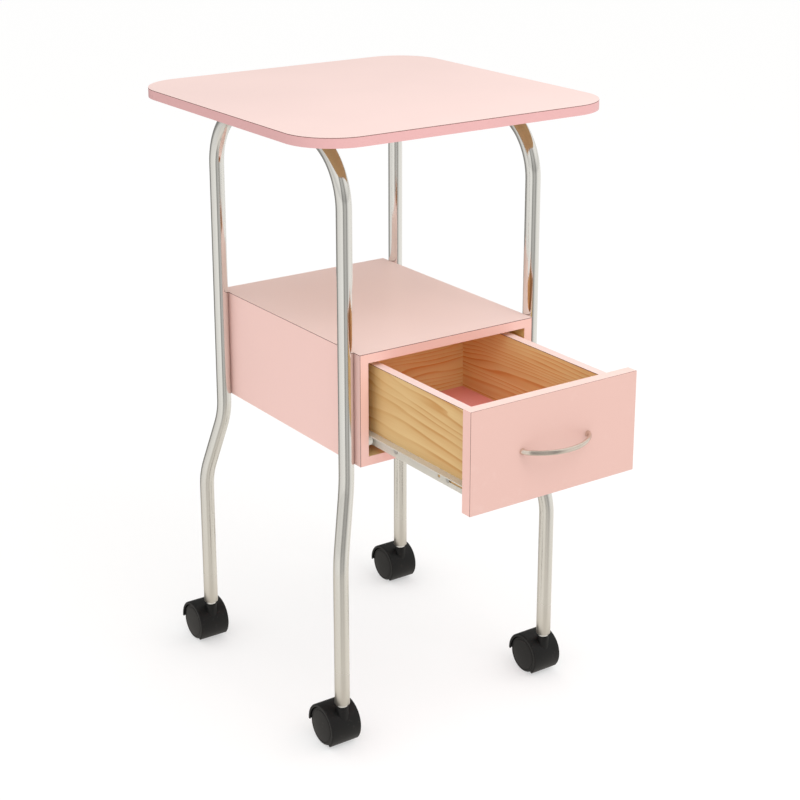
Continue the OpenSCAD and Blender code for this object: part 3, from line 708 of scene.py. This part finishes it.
def castor_wheel(corner, which, side):
    """A wheel turned round its axle: rounded tread, a groove, and a domed cap over the blind bore."""
    place, _ = castor_place(corner)
    name = f"{corner}_{which}_wheel"
    face_r = WHEEL_R - TREAD_ROUND
    inside = [(WHEEL_OUT + DOME, 0.0), (WHEEL_OUT - 3 * MM, 0.0), (WHEEL_OUT - 3 * MM, WHEEL_BORE),
              (WHEEL_IN, WHEEL_BORE), (WHEEL_IN, WHEEL_R - 1.4 * MM)]
    tread = [(WHEEL_IN + 0.6 * MM, WHEEL_R - 0.6 * MM), (WHEEL_IN + 1.6 * MM, WHEEL_R),
             (WHEEL_OUT - TREAD_ROUND - 0.2 * MM, WHEEL_R)]
    turn = [(WHEEL_OUT - TREAD_ROUND + TREAD_ROUND * math.sin(a), face_r + TREAD_ROUND * math.cos(a))
            for a in (math.radians(9 * k) for k in range(1, 10))]
    groove = [(WHEEL_OUT, face_r - 0.3 * MM), (WHEEL_OUT - 0.45 * MM, face_r - 0.7 * MM),
              (WHEEL_OUT - 0.45 * MM, face_r - 1.2 * MM), (WHEEL_OUT + 0.05 * MM, face_r - 1.6 * MM)]
    cap = [(WHEEL_OUT + DOME * (1 - (r / face_r) ** 2), r) for r in (face_r * k / 12 for k in range(10, 0, -1))]
    profile = inside + tread + turn + groove + cap
    mats = [1 if r > WHEEL_R - 1.2 * MM and along < WHEEL_OUT - 0.8 * MM else 0 for along, r in profile]
    bm = bmesh.new()
    lathe(bm, [(side * along, r) for along, r in profile], place, 72, mats=mats)
    bmesh.ops.dissolve_degenerate(bm, dist=WELD / 10, edges=bm.edges)
    return add_piece(name + "_tyre", bm, [m_wheel, m_tread], name, [name], 32)


for corner in CORNERS:
    castor_hood(corner)
    outer = -1 if "left" in corner else 1
    castor_wheel(corner, "outer", outer)
    castor_wheel(corner, "inner", -outer)


# ---------------------------------------------------------------- CAD nodes that keep their shape

def dress(name, mats, bevel=0.0, pick=None):
    """Gives a CAD node its materials, and rounds its sharp edges with a modifier.

    pick(normal) gives a face's index in the list of materials.
    """
    obj = nodes[name]
    obj.data.materials.clear()
    for m in mats if isinstance(mats, list) else [mats]:
        obj.data.materials.append(m)
    for polygon in obj.data.polygons:
        polygon.material_index = pick(polygon.normal) if pick else 0
    if bevel:
        mod = obj.modifiers.new("soft_edges", "BEVEL")
        mod.width = bevel
        mod.segments = 2
        mod.limit_method = "ANGLE"
        mod.angle_limit = math.radians(35)
        mod.harden_normals = True


def outward(sign):
    """0 on the face that looks outwards along X, 1 elsewhere."""
    return lambda n: 0 if n.x * sign > 0.5 else 1


dress("tabletop_core", m_mdf, 0.3 * MM)
dress("tabletop_laminate", m_top, 0.18 * MM)
dress("tabletop_edge_band", m_band, 0.35 * MM)
dress("case_top_laminate", m_case_top, 0.18 * MM)
for side, sign in (("left", -1), ("right", 1)):
    dress(f"case_{side}_laminate", m_side, 0.18 * MM)
    dress(f"case_{side}_panel", [m_case_band, m_case_in], 0.2 * MM,
          pick=lambda n: 0 if abs(n.z) > 0.5 or n.y > 0.5 else 1)
    # the drawer side's inner face takes the pine copy with painted bounce light and shade
    dress(f"drawer_{side}_side", [m_side_out, m_side_in], 0.3 * MM, pick=outward(sign))
    dress(f"{side}_case_runner", m_steel, 0.25 * MM)
    dress(f"{side}_drawer_runner", m_steel, 0.25 * MM)
    dress(f"{side}_case_roller", m_nylon, 0.4 * MM)
    dress(f"{side}_drawer_roller", m_nylon, 0.4 * MM)
dress("case_edge_band", m_case_band, 0.25 * MM)
dress("case_top_panel", [m_case_in, m_case_band], pick=lambda n: 1 if n.y > 0.5 else 0)
dress("case_bottom_panel", [m_side, m_case_in, m_case_band],
      pick=lambda n: 0 if n.z < -0.5 else 2 if n.y > 0.5 else 1)
dress("case_back_panel", [m_front, m_case_in], 0.4 * MM, pick=lambda n: 0 if n.y > 0.5 else 1)
dress("drawer_front_core", m_mdf)
dress("drawer_front_laminate", m_front, 0.18 * MM)
dress("drawer_front_edge_band", [m_pale_band, m_case_band], 0.25 * MM, pick=lambda n: 1 if abs(n.x) > 0.5 else 0)
dress("drawer_back", m_back_in, 0.3 * MM)
dress("drawer_bottom", m_bottom)
dress("drawer_top_bands", m_case_top, 0.15 * MM)
for name in ("case_dowels", "drawer_dowels"):
    dress(name, m_side_out)
for name in ("tabletop_screws", "case_screws", "case_roller_rivets", "case_runner_screws", "handle_screws",
             "drawer_roller_rivets", "drawer_runner_screws"):
    dress(name, m_zinc, 0.2 * MM)
dress("castor_stems", m_collar_painted_highlight, 0.2 * MM)
dress("castor_sockets", m_hood)
for corner in CORNERS:
    dress(corner + "_axle", m_zinc, 0.2 * MM)


# ---------------------------------------------------------------- studio

FLOOR_SIZE = 14
FLOOR_GREY = 0.90
FLOOR_LIFT = 0.38       # the share of plain white that the camera sees in the floor
FLOOR_GLOW = 1.19
# a warm glow that only the chrome sees in the floor near the table: a painted reflection
FLOOR_REFLECTION_GLOW = (0.88, 0.83, 0.76)
AMBIENT = 0.97
AMBIENT_TINT = (1.0, 0.995, 0.985, 1)
WHITE = (1, 1, 1, 1)
FLAGS_FROM = 0.1536     # where the stops below have their zero, as a share of a turn
# what the chrome reflects: by degrees round the table, and by height, from straight down to straight up
FLAG_STOPS = [(-20, 0.95), (-13, 0.75), (-8, 0.30), (-2, 0.30), (4, 0.50), (30, 0.53), (38, 0.32), (44, 0.36),
              (54, 0.70), (70, 0.90), (150, 0.97), (168, 0.70), (180, 0.26), (238, 0.26), (264, 0.80)]
FLAG_RISE = [(0.0, 0.80), (0.30, 1.0), (0.48, 1.0), (0.52, 0.80), (0.58, 0.86), (0.66, 1.0), (1.0, 1.05)]
FLAG_ENDS = (0.87, 0.865, 0.85)
FLAGS = [(0.0, FLAG_ENDS)]
FLAGS += [(FLAGS_FROM + degrees / 360, (grey, grey * 0.99, grey * 0.965)) for degrees, grey in FLAG_STOPS]
FLAGS += [(1.0, FLAG_ENDS)]
# the name, place, target, size in metres and power in watts of each lamp
LAMPS = (
    ("key", (-0.9, -1.6, 2.6), (0, -0.1, 0.4), 1.6, 6.5),
    ("fill", (2.2, -1.4, 1.6), (0, 0, 0.4), 2.0, 4.0),
    ("low", (-1.5, -2.3, 1.15), (0, -0.1, 0.45), 1.4, 3.5),
    ("drawer", (0.3, -1.5, 2.0), (0, -0.25, 0.45), 1.0, 9.0),
)
CAMERA_PLACE = (-1.1854, -1.7766, 1.1711)
CAMERA_DOWN = 17.16
CAMERA_TURN = -34.73


def floor_material():
    """Matt paper, lifted towards white for the camera.

    Chrome sees a painted reflection in it: a warm glow near the table, and through it the world's flags further out.
    """
    m = bpy.data.materials.new("studio_floor")
    m.use_nodes = True
    g = Graph(m.node_tree)
    out = g.node("ShaderNodeOutputMaterial")
    path = g.node("ShaderNodeLightPath")

    def glow(colour, strength):
        n = g.node("ShaderNodeEmission")
        n.inputs[0].default_value = (*colour, 1)
        n.inputs[1].default_value = strength
        return n

    paper = g.node("ShaderNodeBsdfDiffuse")
    paper.inputs[0].default_value = (FLOOR_GREY, FLOOR_GREY, FLOOR_GREY, 1)
    lift = g.math("MULTIPLY", path.outputs["Is Camera Ray"], FLOOR_LIFT)
    lifted = g.mix_shader(lift, paper, glow((1, 1, 1), FLOOR_GLOW))
    reach = g.node("ShaderNodeVectorMath", operation="LENGTH")
    g.link(g.coords(), reach.inputs[0])
    clear = g.ramp(reach.outputs["Value"], [(0.45, 0.35), (0.95, 1.0)])
    # painted reflection: a warm glow for glossy rays near the table, clear further out
    mirrored = g.mix_shader(clear, glow(FLOOR_REFLECTION_GLOW, 1.0), g.node("ShaderNodeBsdfTransparent"))
    both = g.mix_shader(path.outputs["Is Glossy Ray"], lifted, mirrored)
    g.link(both.outputs[0], out.inputs[0])
    return m


def studio_floor():
    bm = bmesh.new()
    bmesh.ops.create_grid(bm, x_segments=1, y_segments=1, size=FLOOR_SIZE)
    mesh = bpy.data.meshes.new("studio_floor")
    bm.to_mesh(mesh)
    bm.free()
    mesh.materials.append(floor_material())
    obj = bpy.data.objects.new("studio_floor", mesh)
    bpy.context.scene.collection.objects.link(obj)


def studio_world():
    """White to the camera, even light for matt surfaces, and soft grey flags for the chrome to reflect."""
    world = bpy.data.worlds.new("studio")
    bpy.context.scene.world = world
    world.use_nodes = True
    g = Graph(world.node_tree)
    out = g.node("ShaderNodeOutputWorld")
    path = g.node("ShaderNodeLightPath")

    def backdrop(colour, strength):
        n = g.node("ShaderNodeBackground")
        g.put(n.inputs[0], colour)
        n.inputs[1].default_value = strength
        return n

    x, y, z = g.split(g.node("ShaderNodeTexCoord").outputs["Generated"])
    turn = g.math("ADD", g.math("DIVIDE", g.math("ARCTAN2", y, x), 2 * math.pi), 0.5)
    rise = g.math("ADD", g.math("MULTIPLY", z, 0.5), 0.5)
    flags = g.mix(1.0, g.ramp(turn, FLAGS), g.ramp(rise, FLAG_RISE), "MULTIPLY")
    light = g.mix_shader(path.outputs["Is Glossy Ray"], backdrop(AMBIENT_TINT, AMBIENT), backdrop(flags, 1.0))
    seen = g.mix_shader(path.outputs["Is Camera Ray"], light, backdrop(WHITE, 1.0))
    g.link(seen.outputs[0], out.inputs[0])


def area_light(name, place, target, size, power):
    """A square lamp that only matt surfaces see, because the flags are what metal reflects."""
    light = bpy.data.lights.new(name, "AREA")
    light.shape = "SQUARE"
    light.size = size
    light.energy = power
    obj = bpy.data.objects.new(name, light)
    obj.location = place
    obj.rotation_euler = (Vector(target) - Vector(place)).to_track_quat("-Z", "Y").to_euler()
    obj.visible_glossy = False
    bpy.context.scene.collection.objects.link(obj)


studio_floor()
studio_world()
for lamp in LAMPS:
    area_light(*lamp)

cam = bpy.data.cameras.new("camera")
cam.sensor_width = 36
cam.lens = 77.68
cam.shift_y = -0.125
cam_obj = bpy.data.objects.new("camera", cam)
cam_obj.location = CAMERA_PLACE
cam_obj.rotation_euler = (math.radians(90 - CAMERA_DOWN), 0, math.radians(CAMERA_TURN))
bpy.context.scene.collection.objects.link(cam_obj)
bpy.context.scene.camera = cam_obj
bpy.context.scene.view_settings.view_transform = "Standard"
